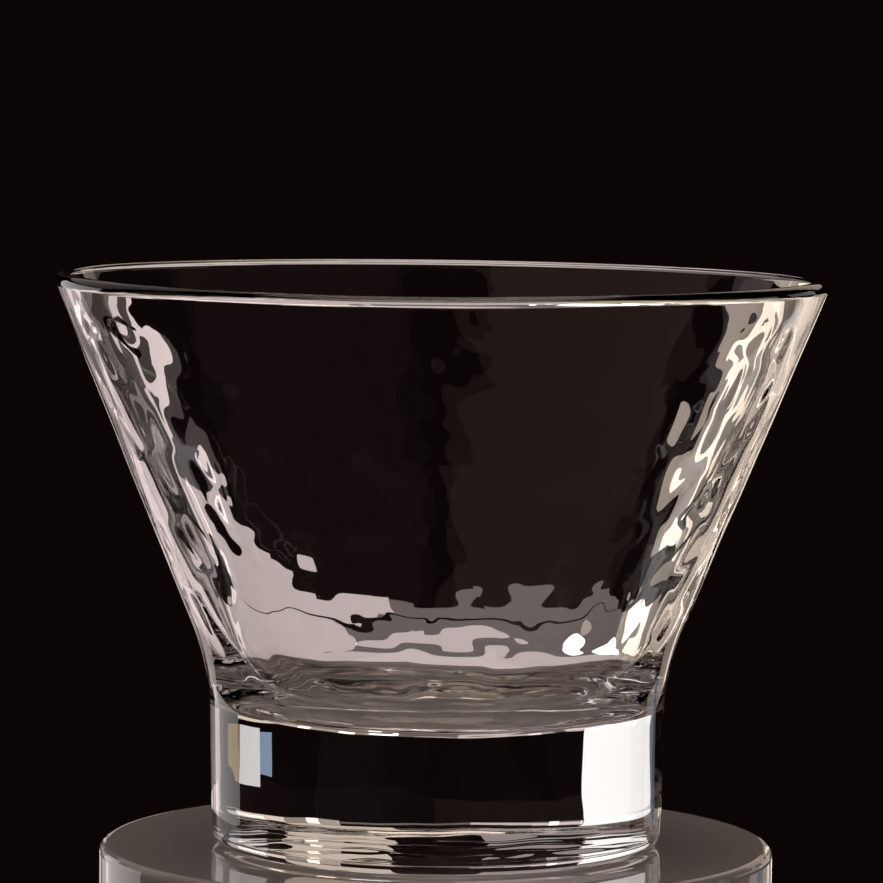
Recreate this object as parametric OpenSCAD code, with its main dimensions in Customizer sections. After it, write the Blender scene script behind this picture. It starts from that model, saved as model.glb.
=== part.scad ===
// Flared, footed mixing glass: a blown bowl fused to a solid foot.
// Both pieces are turned about the Z axis. The base rests on z = 0, at the origin.

/* [Rim] */
// Outer diameter of the rim
rim_d = 105; // [100:1:110]
// Height from the base to the top of the rim
height = 77.5; // [74:0.5:82]
// Thickness of the rounded lip
lip_t = 2.4; // [2.2:0.1:3]

/* [Wall] */
// Flare of the outer wall, in degrees from vertical
wall_angle = 22.4; // [21:0.2:23.4]
// Thickness of the wall where it meets the bottom of the cavity, measured level
root_t = 3.2; // [2.8:0.1:4.4]

/* [Cavity] */
// Height of the middle of the cavity floor
floor_h = 16.5; // [15:0.5:18]
// Radius of the dished cavity floor
dish_r = 110; // [80:5:200]
// Radius of the corner between the cavity floor and the wall
corner_r = 9; // [7:0.5:11]

/* [Foot] */
// Diameter of the foot at its waist, where the wall starts to flare
waist_d = 62; // [60:0.5:64]
// Diameter of the foot just above its base
base_d = 61.4; // [59:0.2:62]
// Radius of the sweep from the waist into the wall
sweep_r = 35; // [30:1:38]
// Radius of the rounded edge of the base
edge_r = 2; // [1:0.5:3]
// Height of the middle of the dished seat on which the bowl is fused
seat_h = 11.5; // [10:0.5:13]

/* [Hidden] */
$fn = 128;
arc_steps = 12;
waist_r = waist_d / 2;
base_r = base_d / 2;
lip_r = lip_t / 2;

// Middle of the round lip, and the point where the outer wall leaves it
lip_c = [rim_d / 2 - lip_r, height - lip_r];
wall_top = lip_c + lip_r * out(wall_angle);

// The sweep touches the vertical waist and the outer wall, so its middle lies
// sweep_r outside both
waist_h = wall_top.y + ((waist_r + sweep_r - wall_top.x) * cos(wall_angle) - sweep_r) / sin(wall_angle);
sweep_c = [waist_r + sweep_r, waist_h];
wall_foot = sweep_c - sweep_r * out(wall_angle);

// The inner wall runs from the lip to a point root_t inside the outer wall
root_r = wall_foot.x - root_t;
cavity_angle = atan2(lip_c.x - lip_r - root_r, lip_c.y - wall_foot.y);
cavity_top = lip_c - lip_r * out(cavity_angle);

// The cavity corner touches the inner wall and the dished floor from inside
dish_c = [0, floor_h + dish_r];
corner_line = cavity_top - corner_r * out(cavity_angle);
along = -up(cavity_angle);
to_dish = corner_line - dish_c;
half_b = along * to_dish;
corner_c = corner_line + along * (sqrt(half_b ^ 2 - to_dish * to_dish + (dish_r - corner_r) ^ 2) - half_b);
dish_angle = atan2(corner_c.x, dish_c.y - corner_c.y);

// The seat is a shallow spherical dish from seat_h on the axis to the waist
seat_rise = waist_h - seat_h;
seat_r = (waist_r ^ 2 + seat_rise ^ 2) / (2 * seat_rise);
seat_angle = asin(waist_r / seat_r);

// Outward normal of a wall that leans out by the angle a, and its upward direction
function out(a) = [cos(a), -sin(a)];
function up(a) = [sin(a), cos(a)];

// Points on a circle of radius r round c, from angle a0 to a1 counted from +X
function arc(c, r, a0, a1) = [
    for (i = [0 : arc_steps])
        let (a = a0 + (a1 - a0) * i / arc_steps)
            c + r * [cos(a), sin(a)]
];

// The seat from the axis out to the waist, shared by both pieces
seat = arc([0, seat_h + seat_r], seat_r, -90, seat_angle - 90);

// Solid puck with a rounded base edge and the dished seat on top
module foot() {
    color([0.62, 0.60, 0.66])
        rotate_extrude()
            polygon(concat(
                [[0, 0]],
                arc([base_r - edge_r, edge_r], edge_r, -90, 0),
                reversed(seat)
            ));
}

// Flared wall with a round lip, a swept root and a dished cavity
module bowl() {
    color([0.83, 0.81, 0.87])
        rotate_extrude()
            polygon(concat(
                seat,
                rest(arc(sweep_c, sweep_r, 180, 180 - wall_angle)),
                arc(lip_c, lip_r, -wall_angle, 180 - cavity_angle),
                arc(corner_c, corner_r, -cavity_angle, dish_angle - 90),
                rest(arc(dish_c, dish_r, dish_angle - 90, -90))
            ));
}

function reversed(list) = [for (i = [len(list) - 1 : -1 : 0]) list[i]];
function rest(list) = [for (i = [1 : len(list) - 1]) list[i]];

bowl();
foot();
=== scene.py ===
import bpy
import math
import numpy as np
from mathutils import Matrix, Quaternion, Vector


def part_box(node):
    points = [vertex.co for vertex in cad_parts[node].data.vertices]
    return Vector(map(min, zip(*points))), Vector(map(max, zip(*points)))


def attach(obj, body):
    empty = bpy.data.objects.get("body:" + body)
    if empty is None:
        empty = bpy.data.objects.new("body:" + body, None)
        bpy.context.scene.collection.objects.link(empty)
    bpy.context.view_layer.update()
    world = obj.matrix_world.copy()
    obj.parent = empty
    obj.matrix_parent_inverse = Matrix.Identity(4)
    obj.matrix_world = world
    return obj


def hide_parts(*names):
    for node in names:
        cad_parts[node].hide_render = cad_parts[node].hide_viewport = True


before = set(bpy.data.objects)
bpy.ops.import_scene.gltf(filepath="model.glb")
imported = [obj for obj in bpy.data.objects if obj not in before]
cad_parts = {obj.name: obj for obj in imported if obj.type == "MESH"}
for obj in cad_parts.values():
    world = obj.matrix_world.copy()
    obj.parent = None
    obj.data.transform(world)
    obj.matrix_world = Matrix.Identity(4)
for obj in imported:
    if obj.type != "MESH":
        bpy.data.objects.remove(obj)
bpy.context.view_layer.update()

# A hammered, flared mixing glass on a solid foot, in clear glass, on a pale round plate.
# Lengths are in metres, angles in degrees, and every random draw comes from one seeded
# generator. Profiles are (radius, height) pairs, turned about the Z axis.

MM = 0.001
SEGMENTS = 448                      # points round each ring of the glass
rng = np.random.default_rng(20)


# ---------------------------------------------------------------- sizes, as in the CAD

bowl_low, bowl_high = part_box("bowl")
foot_low, foot_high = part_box("foot")

RIM_R = bowl_high.x
HEIGHT = bowl_high.z
WAIST_R = foot_high.x
WAIST_H = foot_high.z
SEAT_H = bowl_low.z
LIP_R = 1.2 * MM
LIP_INNER_R = 0.4 * MM              # the lip is crisper on the inside
WALL_ANGLE = 22.4
SWEEP_R = 35 * MM
ROOT_T = 3.2 * MM
FLOOR_H = 16.5 * MM
DISH_R = 110 * MM
CORNER_R = 9 * MM
BASE_R = 30.7 * MM
EDGE_R = 2 * MM
BASE_HOLLOW = 0.35 * MM             # how far the middle of the underside is drawn up


# ---------------------------------------------------------------- profile helpers

def out(angle):
    """Outward normal of a wall that leans out by angle."""
    a = math.radians(angle)
    return np.array([math.cos(a), -math.sin(a)])


def up(angle):
    """Upward direction along that wall."""
    a = math.radians(angle)
    return np.array([math.sin(a), math.cos(a)])


def arc(centre, radius, start, end, count):
    """Count points on a circle from the angle start to end, counted from +X."""
    a = np.radians(np.linspace(start, end, count))
    return np.array(centre) + radius * np.column_stack([np.cos(a), np.sin(a)])


def line(start, end, count):
    """Count points from start to end."""
    t = np.linspace(0, 1, count)[:, None]
    return np.array(start) * (1 - t) + np.array(end) * t


def glass_profile():
    """Stretches of the whole outline from the middle of the base to the middle of the cavity."""
    lip = np.array([RIM_R - LIP_R, HEIGHT - LIP_R])
    wall_top = lip + LIP_R * out(WALL_ANGLE)
    sweep = np.array([WAIST_R + SWEEP_R, WAIST_H])
    wall_foot = sweep - SWEEP_R * out(WALL_ANGLE)
    root_r = wall_foot[0] - ROOT_T
    inner = math.degrees(math.atan2(lip[0] - LIP_R - root_r, lip[1] - wall_foot[1]))
    side = lip - LIP_R * out(inner)
    rise = HEIGHT - LIP_INNER_R * (1 - math.sin(math.radians(inner))) - side[1]
    inner_top = side + up(inner) * rise / math.cos(math.radians(inner))
    inner_lip = inner_top + LIP_INNER_R * out(inner)
    dish = np.array([0, FLOOR_H + DISH_R])
    track = side - CORNER_R * out(inner)
    down = -up(inner)
    reach = track - dish
    half_b = down @ reach
    gap = DISH_R - CORNER_R
    corner = track + down * (math.sqrt(half_b ** 2 - reach @ reach + gap ** 2) - half_b)
    corner_side = corner + CORNER_R * out(inner)
    dish_angle = math.degrees(math.atan2(corner[0], dish[1] - corner[1]))
    return {
        "base": line([0, 0], [BASE_R - EDGE_R, 0], 46),
        "edge": arc([BASE_R - EDGE_R, EDGE_R], EDGE_R, -90, 0, 9),
        "foot": line([BASE_R, EDGE_R], [WAIST_R, WAIST_H], 16),
        "sweep": arc(sweep, SWEEP_R, 180, 180 - WALL_ANGLE, 14),
        "wall": line(wall_foot, wall_top, 36),
        "lip": arc(lip, LIP_R, -WALL_ANGLE, 90, 10),
        "lip_inside": arc(inner_lip, LIP_INNER_R, 90, 180 - inner, 6),
        "inside": line(inner_top, corner_side, 96),
        "corner": arc(corner, CORNER_R, -inner, dish_angle - 90, 20),
        "floor": arc(dish, DISH_R, dish_angle - 90, -90, 34),
    }


def seat_profile():
    """The dished seat on which bowl and foot are fused, from the waist to the axis."""
    rise = WAIST_H - SEAT_H
    radius = (WAIST_R ** 2 + rise ** 2) / (2 * rise)
    edge = math.degrees(math.asin(WAIST_R / radius))
    return arc([0, SEAT_H + radius], radius, edge - 90, -90, 10)


# ---------------------------------------------------------------- surface detail

def smooth_step(x, low, high):
    """From 0 at low to 1 at high, with no kink at either end."""
    t = np.clip((x - low) / (high - low), 0, 1)
    return t * t * (3 - 2 * t)


def ripples(points, wavelength, waves=28):
    """A smooth random field of about unit height, made of plane waves near one wavelength."""
    directions = rng.normal(size=(waves, 3))
    directions /= np.linalg.norm(directions, axis=1)[:, None]
    lengths = wavelength * rng.uniform(0.75, 1.5, waves)
    phases = rng.uniform(0, 2 * math.pi, waves)
    total = np.zeros(len(points))
    for direction, length, phase in zip(directions, lengths, phases):
        total += np.sin(points @ direction * (2 * math.pi / length) + phase)
    return total * math.sqrt(2 / waves)


def turned(profile, angles):
    """Points of a profile turned to each of the angles, ring by ring."""
    ring = np.column_stack([np.cos(angles), np.sin(angles)])
    xy = profile[:, 0, None, None] * ring
    z = np.broadcast_to(profile[:, 1, None, None], xy.shape[:2] + (1,))
    return np.concatenate([xy, z], axis=2)


DENT_PITCH = 8.0 * MM
DENT_SPACING = 0.80                 # least gap between two middles, in pitches
DENT_RADIUS = 0.72                  # mean radius of a mark, in pitches
DENT_SPREAD = (0.82, 1.22)          # smallest and largest mark, against the mean
DENT_DEPTH = 0.15 * MM
DENT_REST = 0.45                    # share of the depth that lies above the smooth wall
DENT_BLEND = 5.0                    # how sharp the ridges between marks are
DENT_TRIES = 9000                   # marks thrown at the cavity, most of them refused
DENT_LEVEL = {"floor": 0.9, "corner": 0.65}
DENT_BLOCK = 4096                   # points worked out at a time
DENT_FADE = (6.5 * MM, 2.2 * MM)    # below the rim, where the marks start to fade and are gone
DENT_CENTRE = 4 * MM                # they also fade towards the axis

WOBBLE, WOBBLE_WAVE = 0.055 * MM, 26 * MM       # long waves on the outside
CORDS, CORDS_WAVE = 0.012 * MM, 9 * MM          # short ones
LIP_FADE = (6 * MM, 2 * MM)         # below the rim, where those waves start to calm
LIP_CALM = 0.7                      # share of them that is gone at the lip
BASE_FADE = 3 * MM                  # height over which they die out towards the base
GRAIN, GRAIN_WAVE = 0.08 * MM, 7 * MM           # ripple of the underside
GRAIN_FADE = 3 * MM                 # from its edge inwards
RIM_SWAY = ((2, 0.6, 0.16), (3, 2.1, 0.07), (1, 0.0, -0.12))    # waves, phase, height in mm
RIM_SWAY_FROM = 30 * MM             # below the rim, where the sway starts


def dent_centres(inside, corner, floor):
    """Middles of the hammer marks, scattered over the cavity and never close together."""
    path = np.vstack([inside, corner[1:], floor[1:]])
    steps = np.linalg.norm(np.diff(path, axis=0), axis=1)
    run = np.concatenate([[0], np.cumsum(steps)])
    place = rng.uniform(0, run[-1], DENT_TRIES)
    radius = np.interp(place, run, path[:, 0])
    height = np.interp(place, run, path[:, 1])
    wanted = rng.uniform(0, path[0, 0], DENT_TRIES) < radius
    angle = rng.uniform(0, 2 * math.pi, DENT_TRIES)
    darts = np.column_stack([radius * np.cos(angle), radius * np.sin(angle), height])
    centres = [darts[0]]
    for dart in darts[wanted]:
        gaps = np.linalg.norm(np.array(centres) - dart, axis=1)
        if gaps.min() > DENT_SPACING * DENT_PITCH:
            centres.append(dart)
    return np.array(centres)


def dents(points, centres):
    """Depth of the hammer marks at each point: shallow round dents with soft ridges between."""
    sizes = rng.uniform(*DENT_SPREAD, len(centres)) * DENT_PITCH * DENT_RADIUS
    depth = np.empty(len(points))
    for i in range(0, len(points), DENT_BLOCK):
        gap = np.linalg.norm(points[i:i + DENT_BLOCK, None] - centres[None], axis=2)
        q = (gap / sizes) ** 2
        nearest = q.min(axis=1)
        others = np.exp(-DENT_BLEND * (q - nearest[:, None])).sum(axis=1)
        soft = nearest - np.log(others) / DENT_BLEND
        depth[i:i + DENT_BLOCK] = 1 - np.minimum(soft, 1)
    return depth


def build_surface():
    """The whole glass as one grid of points, ring by ring, and the row of its seam."""
    parts = glass_profile()
    rows, labels = [], []
    for name, stretch in parts.items():
        fresh = stretch[1:] if rows else stretch
        rows.append(fresh)
        labels += [name] * len(fresh)
    profile = np.vstack(rows)
    labels = np.array(labels)
    seam = int(np.flatnonzero(labels == "foot")[-1])

    tangent = np.gradient(profile, axis=0)
    tangent /= np.linalg.norm(tangent, axis=1)[:, None]
    push = np.column_stack([tangent[:, 1], -tangent[:, 0]])

    angles = np.linspace(0, 2 * math.pi, SEGMENTS, endpoint=False)
    points = turned(profile, angles)
    normals = turned(push, angles)
    flat = points.reshape(-1, 3)

    shape = points.shape[:2]
    wobble = ripples(flat, WOBBLE_WAVE).reshape(shape) * WOBBLE
    cords = ripples(flat, CORDS_WAVE).reshape(shape) * CORDS
    radius, height = profile[:, 0], profile[:, 1]
    outside = np.isin(labels, ["foot", "sweep", "wall"])
    shift = np.where(outside[:, None], wobble + cords, 0)
    near_lip = smooth_step(height, HEIGHT - LIP_FADE[0], HEIGHT - LIP_FADE[1])
    near_base = 1 - smooth_step(height, EDGE_R, EDGE_R + BASE_FADE)
    shift *= (1 - np.where(outside, near_lip, 1) * LIP_CALM)[:, None]
    shift *= (1 - np.where(outside, near_base, 1))[:, None]

    hammered = np.isin(labels, ["inside", "corner", "floor"])
    cavity = points[hammered].reshape(-1, 3)
    centres = dent_centres(parts["inside"], parts["corner"], parts["floor"])
    fade = 1 - smooth_step(height[hammered], HEIGHT - DENT_FADE[0], HEIGHT - DENT_FADE[1])
    level = np.array([DENT_LEVEL.get(name, 1.0) for name in labels[hammered]])
    amount = DENT_DEPTH * (dents(cavity, centres).reshape(-1, SEGMENTS) - DENT_REST)
    centre_fade = smooth_step(radius[hammered], 0, DENT_CENTRE)
    shift[hammered] = -amount * (fade * level * centre_fade)[:, None]

    points = points + normals * shift[..., None]

    under = labels == "base"
    lift = smooth_step(BASE_R - EDGE_R - radius[under], 0, GRAIN_FADE)[:, None]
    grain = ripples(points[under].reshape(-1, 3), GRAIN_WAVE).reshape(-1, SEGMENTS)
    points[under, :, 2] += lift * (BASE_HOLLOW + GRAIN * grain)

    rim = smooth_step(height, HEIGHT - RIM_SWAY_FROM, HEIGHT)[:, None]
    sway = sum(tall * np.cos(waves * angles + phase) for waves, phase, tall in RIM_SWAY)
    points[..., 2] += rim * sway * MM
    return points, seam


def grid_normals(points):
    """Unit normals of a grid of rings, outward from the glass."""
    round_ = np.roll(points, -1, axis=1) - np.roll(points, 1, axis=1)
    along = np.gradient(points, axis=0)
    normal = np.cross(round_, along)
    length = np.linalg.norm(normal, axis=2, keepdims=True)
    return normal / np.maximum(length, 1e-12)


# ---------------------------------------------------------------- meshes

def closed_piece(name, rings, normals, hidden_rows):
    """A closed mesh from a stack of rings; the first and last shrink to points on the axis.

    The rows in hidden_rows lie on the face where bowl and foot are fused.
    """
    inner = rings[1:-1]
    here = np.arange(SEGMENTS)
    there = (here + 1) % SEGMENTS
    faces, slots = [], []
    for row in range(len(inner) - 1):
        low, high = row * SEGMENTS, (row + 1) * SEGMENTS
        quads = np.column_stack([low + here, low + there, high + there, high + here])
        faces += quads.tolist()
        slots += [int(row + 1 in hidden_rows)] * SEGMENTS
    start = len(inner) * SEGMENTS
    end = start + 1
    last = start - SEGMENTS
    faces += np.column_stack([np.full(SEGMENTS, start), there, here]).tolist()
    slots += [int(0 in hidden_rows)] * SEGMENTS
    faces += np.column_stack([np.full(SEGMENTS, end), last + here, last + there]).tolist()
    slots += [int(len(rings) - 2 in hidden_rows)] * SEGMENTS

    def with_ends(grid):
        return np.vstack([grid[1:-1].reshape(-1, 3), grid[0].mean(axis=0), grid[-1].mean(axis=0)])

    mesh = bpy.data.meshes.new(name)
    mesh.from_pydata(with_ends(rings).tolist(), [], faces)
    mesh.polygons.foreach_set("use_smooth", [True] * len(mesh.polygons))
    mesh.polygons.foreach_set("material_index", slots)
    directions = with_ends(normals)
    lengths = np.linalg.norm(directions, axis=1, keepdims=True)
    directions = np.where(lengths > 0, directions / np.maximum(lengths, 1e-12), [0, 0, 1])
    mesh.normals_split_custom_set_from_vertices(directions.tolist())
    mesh.update()
    piece = bpy.data.objects.new(name, mesh)
    bpy.context.scene.collection.objects.link(piece)
    return piece


def make_glass():
    """The foot up to the seam, and the bowl from it, sharing the ring of points there."""
    points, seam = build_surface()
    normals = grid_normals(points)
    normals[0] = [0, 0, -1]
    normals[-1] = [0, 0, 1]
    angles = np.linspace(0, 2 * math.pi, SEGMENTS, endpoint=False)
    seat = seat_profile()
    seat_points = turned(seat, angles)[1:]
    blend = (seat[1:, 0] / WAIST_R)[:, None, None]
    lean = points[seam] - turned(seat, angles)[0]
    seat_points = seat_points + blend * lean[None]
    up_normals = np.broadcast_to([0.0, 0, 1], seat_points.shape)

    foot_rings = np.concatenate([points[:seam + 1], seat_points])
    foot_normals = np.concatenate([normals[:seam + 1], up_normals])
    foot_hidden = set(range(seam, len(foot_rings) - 1))
    foot = closed_piece("glass_foot", foot_rings, foot_normals, foot_hidden)

    bowl_rings = np.concatenate([seat_points[::-1], points[seam:]])
    bowl_normals = np.concatenate([-up_normals, normals[seam:]])
    bowl_hidden = set(range(len(seat_points)))
    bowl = closed_piece("glass_bowl", bowl_rings, bowl_normals, bowl_hidden)
    return bowl, foot


# ---------------------------------------------------------------- materials

def principled(name):
    """A new material with one Principled shader, and that shader."""
    material = bpy.data.materials.new(name)
    material.use_nodes = True
    nodes = material.node_tree.nodes
    nodes.clear()
    shader = nodes.new("ShaderNodeBsdfPrincipled")
    output = nodes.new("ShaderNodeOutputMaterial")
    material.node_tree.links.new(shader.outputs["BSDF"], output.inputs["Surface"])
    return material, shader


def glass_material(name, tint_a, tint_b, haze):
    """Clear glass with faint cloudy tint and patches of barely duller polish."""
    material, shader = principled(name)
    tree = material.node_tree
    shader.inputs["Transmission Weight"].default_value = 1.0
    shader.inputs["IOR"].default_value = 1.5
    where = tree.nodes.new("ShaderNodeTexCoord")
    cloud = tree.nodes.new("ShaderNodeTexNoise")
    cloud.inputs["Scale"].default_value = 38.0
    cloud.inputs["Detail"].default_value = 3.0
    tree.links.new(where.outputs["Object"], cloud.inputs["Vector"])
    tint = tree.nodes.new("ShaderNodeMix")
    tint.data_type = "RGBA"
    tint.inputs["A"].default_value = (*tint_a, 1)
    tint.inputs["B"].default_value = (*tint_b, 1)
    tree.links.new(cloud.outputs["Fac"], tint.inputs["Factor"])
    tree.links.new(tint.outputs["Result"], shader.inputs["Base Color"])
    smear = tree.nodes.new("ShaderNodeTexNoise")
    smear.inputs["Scale"].default_value = 120.0
    smear.inputs["Detail"].default_value = 5.0
    tree.links.new(where.outputs["Object"], smear.inputs["Vector"])
    polish = tree.nodes.new("ShaderNodeMapRange")
    polish.inputs["From Min"].default_value = 0.45
    polish.inputs["From Max"].default_value = 0.85
    polish.inputs["To Min"].default_value = 0.0
    polish.inputs["To Max"].default_value = haze
    tree.links.new(smear.outputs["Fac"], polish.inputs["Value"])
    tree.links.new(polish.outputs["Result"], shader.inputs["Roughness"])
    return material


def fused_material():
    """The face inside the glass where bowl and foot are one: nothing to see."""
    material, shader = principled("fused_face")
    shader.inputs["Alpha"].default_value = 0.0
    return material


def floor_material():
    """Pale, lightly mottled and lacquered."""
    material, shader = principled("pale_floor")
    tree = material.node_tree
    shader.inputs["Roughness"].default_value = 0.5
    shader.inputs["Coat Weight"].default_value = 1.0
    shader.inputs["Coat Roughness"].default_value = 0.04
    where = tree.nodes.new("ShaderNodeTexCoord")
    grain = tree.nodes.new("ShaderNodeTexNoise")
    grain.inputs["Scale"].default_value = 30.0
    grain.inputs["Detail"].default_value = 6.0
    tree.links.new(where.outputs["Object"], grain.inputs["Vector"])
    tint = tree.nodes.new("ShaderNodeMix")
    tint.data_type = "RGBA"
    tint.inputs["A"].default_value = (0.62, 0.60, 0.62, 1)
    tint.inputs["B"].default_value = (0.66, 0.64, 0.66, 1)
    tree.links.new(grain.outputs["Fac"], tint.inputs["Factor"])
    tree.links.new(tint.outputs["Result"], shader.inputs["Base Color"])
    return material


# ---------------------------------------------------------------- stage, lights and camera

FLOOR_R = 46 * MM
FLOOR_T = 6 * MM
FLOOR_EDGE = 1.2 * MM
FLOOR_GAP = 0.05 * MM               # below the base, so that the two don't share a plane
FLOOR_SEGMENTS = 192


def make_floor():
    """A thin round plate just under the base."""
    profile = np.vstack([
        [[0, 0]],
        arc([FLOOR_R - FLOOR_EDGE, -FLOOR_EDGE], FLOOR_EDGE, 90, 0, 7),
        [[FLOOR_R, -FLOOR_T], [0, -FLOOR_T]],
    ])
    angles = np.linspace(0, 2 * math.pi, FLOOR_SEGMENTS, endpoint=False)
    rings = turned(profile, angles)
    verts = rings.reshape(-1, 3).tolist()
    faces = []
    for row in range(len(profile) - 1):
        low, high = row * FLOOR_SEGMENTS, (row + 1) * FLOOR_SEGMENTS
        for i in range(FLOOR_SEGMENTS):
            j = (i + 1) % FLOOR_SEGMENTS
            faces.append([low + i, high + i, high + j, low + j])
    mesh = bpy.data.meshes.new("floor")
    mesh.from_pydata(verts, [], faces)
    mesh.validate()
    mesh.materials.append(floor_material())
    floor = bpy.data.objects.new("floor", mesh)
    floor.location.z = -FLOOR_GAP
    bpy.context.scene.collection.objects.link(floor)


def aim(thing, place, target):
    """Puts a light at place, facing target."""
    thing.location = place
    thing.rotation_euler = (Vector(target) - Vector(place)).to_track_quat("-Z", "Y").to_euler()


STUDIO_R = 1.5                      # level distance from the glass to the big softboxes
LOW_R = 0.6                         # to the ones below the glass
WING_R = 0.3                        # to the small ones beside the bowl
NEAR_R = 0.18                       # and to the slim ones that only the bowl looks at
GLASS_MIDDLE = 0.03                 # height on the glass that the softboxes are set out from


def area_light(name, width, height, radiance, colour, shape="RECTANGLE"):
    """A flat light of a given brightness that the camera doesn't see directly."""
    light = bpy.data.lights.new(name, "AREA")
    light.shape = shape
    light.size, light.size_y = width, height
    area = width * height * (math.pi / 4 if shape == "ELLIPSE" else 1)
    light.energy = radiance * math.pi * area
    light.color = colour
    lamp = bpy.data.objects.new(name, light)
    bpy.context.scene.collection.objects.link(lamp)
    lamp.visible_camera = False
    return lamp


def softbox(name, azimuths, elevations, radiance, colour, distance=STUDIO_R, shape="RECTANGLE"):
    """An upright light that fills a range of azimuth and elevation, seen from the glass.

    Azimuth 0 is straight behind the glass and grows to the left, as the camera sees it.
    """
    azimuth = math.radians(sum(azimuths) / 2)
    half = math.radians(abs(azimuths[1] - azimuths[0]) / 2)
    bottom, top = (GLASS_MIDDLE + distance * math.tan(math.radians(e)) for e in elevations)
    lamp = area_light(name, 2 * distance * math.tan(half), top - bottom, radiance, colour, shape)
    place = Vector((-math.sin(azimuth), math.cos(azimuth), 0)) * distance
    middle = Vector((0, 0, (bottom + top) / 2))
    aim(lamp, place + middle, middle)


WHITE = (1.0, 0.97, 0.95)
ROSE = (1.0, 0.83, 0.80)
WARM = (1.0, 0.82, 0.68)
GOLD = (1.0, 0.86, 0.50)
BROWN = (1.0, 0.66, 0.54)
BLUE = (0.55, 0.72, 1.0)
AMBER = (1.0, 0.66, 0.34)


def strips(name, edges, elevations, radiances, colour, distance):
    """Softboxes side by side, between the azimuths in edges."""
    for i, radiance in enumerate(radiances):
        softbox(f"{name}_{i}", edges[i:i + 2], elevations, radiance, colour, distance)


NIGHT = (0.0035, 0.0016, 0.0018, 1)


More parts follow.
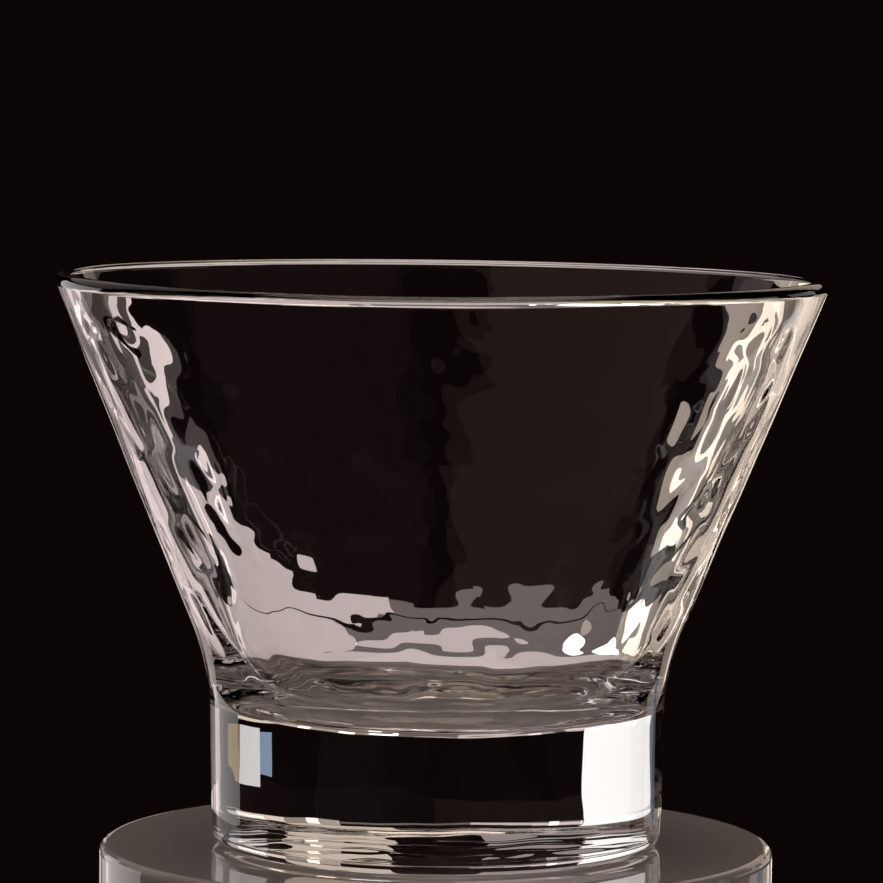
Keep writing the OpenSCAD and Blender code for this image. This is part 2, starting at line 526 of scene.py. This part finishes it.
def make_lights():
    """Lights set out by direction for the camera's view of the glass, in an almost black room.

    What shows through clear glass is what stands around it, so their edges are the edges of its
    bright areas. The low and edge ones reach below the level of the floor plate, past its rim.
    """
    left_edges = (8, 15, 17.5, 20, 22.5, 36)
    strips("low_left", left_edges, (-72, -10.8), (0.6, 1.2, 0.45, 0.12, 0.8), ROSE, LOW_R)
    softbox("low_inner", (3.6, 8), (-76, -10.8), 0.6, ROSE, LOW_R)
    softbox("low_middle", (-3.2, 3.8), (-17.5, -12.3), 0.45, ROSE, LOW_R, "ELLIPSE")
    softbox("low_shade", (-11, 3.6), (-24, -10.8), 0.15, ROSE, LOW_R)
    softbox("low_back", (-9, 3.6), (-80, -24), 0.60, ROSE, LOW_R)
    softbox("hot_spot", (-10.5, -5.5), (-27, -15), 2.2, WHITE, LOW_R, "ELLIPSE")
    right_edges = (-36, -25, -22, -16, -13, -9)
    strips("low_right", right_edges, (-26, -11), (0.6, 2.2, 0.4, 2.0, 0.3), WARM, LOW_R)
    softbox("low_gold", (-36, -9), (-60, -26), 0.5, GOLD, LOW_R)
    softbox("edge_far_left", (17, 22), (-9.7, -2.6), 0.6, ROSE, NEAR_R)
    softbox("edge_outer", (12.5, 17), (-9.7, -4.0), 0.6, ROSE, NEAR_R)
    softbox("edge_middle", (8.5, 12.5), (-9.7, -5.0), 0.6, ROSE, NEAR_R)
    softbox("edge_inner", (4, 8.5), (-9.7, -5.8), 0.6, ROSE, NEAR_R)
    softbox("edge_haze_left", (1.8, 4), (-9.7, -6.3), 0.15, ROSE, NEAR_R)
    softbox("edge_haze", (-3, 1.8), (-9.7, -7.0), 0.15, ROSE, NEAR_R)
    softbox("edge_haze_right", (-12.8, -3), (-9.7, -6.3), 0.15, ROSE, NEAR_R)
    strips("wing_left", (14, 17, 19, 24, 45), (-8, 1.5), (0.07, 1.0, 0.09, 0.4), ROSE, WING_R)
    strips("wing_right", (-45, -26, -20.5, -18, -14), (-8, 4), (0.8, 0.3, 1.8, 0.4), WARM, WING_R)
    softbox("left", (28, 62), (-12, 14), 1.1, WHITE)
    softbox("strip_blue", (-38, -33.5), (-14, -7.6), 0.4, BLUE)
    softbox("strip", (-48, -38), (-14, -7.2), 0.7, WHITE)
    softbox("strip_amber", (-57, -48), (-14, -7.2), 0.25, AMBER)
    softbox("strip_high", (-57, -36), (0, 14), 0.5, WHITE)
    softbox("right", (-100, -64), (-14, 14), 0.5, ROSE)
    softbox("high_left", (8, 62), (18, 50), 0.3, ROSE)
    softbox("high_right", (-30, -7), (10, 35), 0.6, WARM)
    softbox("front_left", (75, 180), (-4, 50), 0.17, BROWN)
    softbox("front_right", (180, 285), (-4, 50), 0.05, BROWN)
    top = area_light("top", 1.2, 1.2, 1.2, WARM)
    top.location.z = STUDIO_R
    world = bpy.data.worlds.new("studio")
    world.use_nodes = True
    world.node_tree.nodes["Background"].inputs["Color"].default_value = NIGHT
    bpy.context.scene.world = world


CAMERA_DISTANCE = 0.695
CAMERA_ELEVATION = 4.61
CAMERA_FOV = 9.89
CAMERA_ROLL = 0.57
CAMERA_TARGET = Vector((0.00023, 0, 0.05495))


def make_camera():
    """A camera slightly above the rim, in front of the glass."""
    data = bpy.data.cameras.new("camera")
    data.sensor_fit = "HORIZONTAL"
    data.sensor_width = 36.0
    data.lens = 18.0 / math.tan(math.radians(CAMERA_FOV / 2))
    data.clip_start, data.clip_end = 0.01, 20
    camera = bpy.data.objects.new("camera", data)
    bpy.context.scene.collection.objects.link(camera)
    e = math.radians(CAMERA_ELEVATION)
    back = Vector((0, -math.cos(e), math.sin(e)))
    camera.location = CAMERA_TARGET + CAMERA_DISTANCE * back
    look = (-back).to_track_quat("-Z", "Y")
    camera.rotation_mode = "QUATERNION"
    camera.rotation_quaternion = look @ Quaternion((0, 0, 1), math.radians(CAMERA_ROLL))
    bpy.context.scene.camera = camera


# ---------------------------------------------------------------- put together

make_camera()
make_lights()
make_floor()

bowl, foot = make_glass()
for piece, node, slot_name in ((bowl, "bowl", "bowl_glass"), (foot, "foot", "foot_glass")):
    clear = glass_material(node + "_clear", (0.97, 0.97, 0.97), (1.0, 1.0, 1.0), 0.02)
    piece.data.materials.append(clear)
    piece.data.materials.append(fused_material())
    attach(piece, "root")
    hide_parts(node)

scene = bpy.context.scene
scene.view_settings.view_transform = "Standard"
scene.cycles.max_bounces = 32
scene.cycles.transmission_bounces = 32
scene.cycles.glossy_bounces = 16
scene.cycles.transparent_max_bounces = 16

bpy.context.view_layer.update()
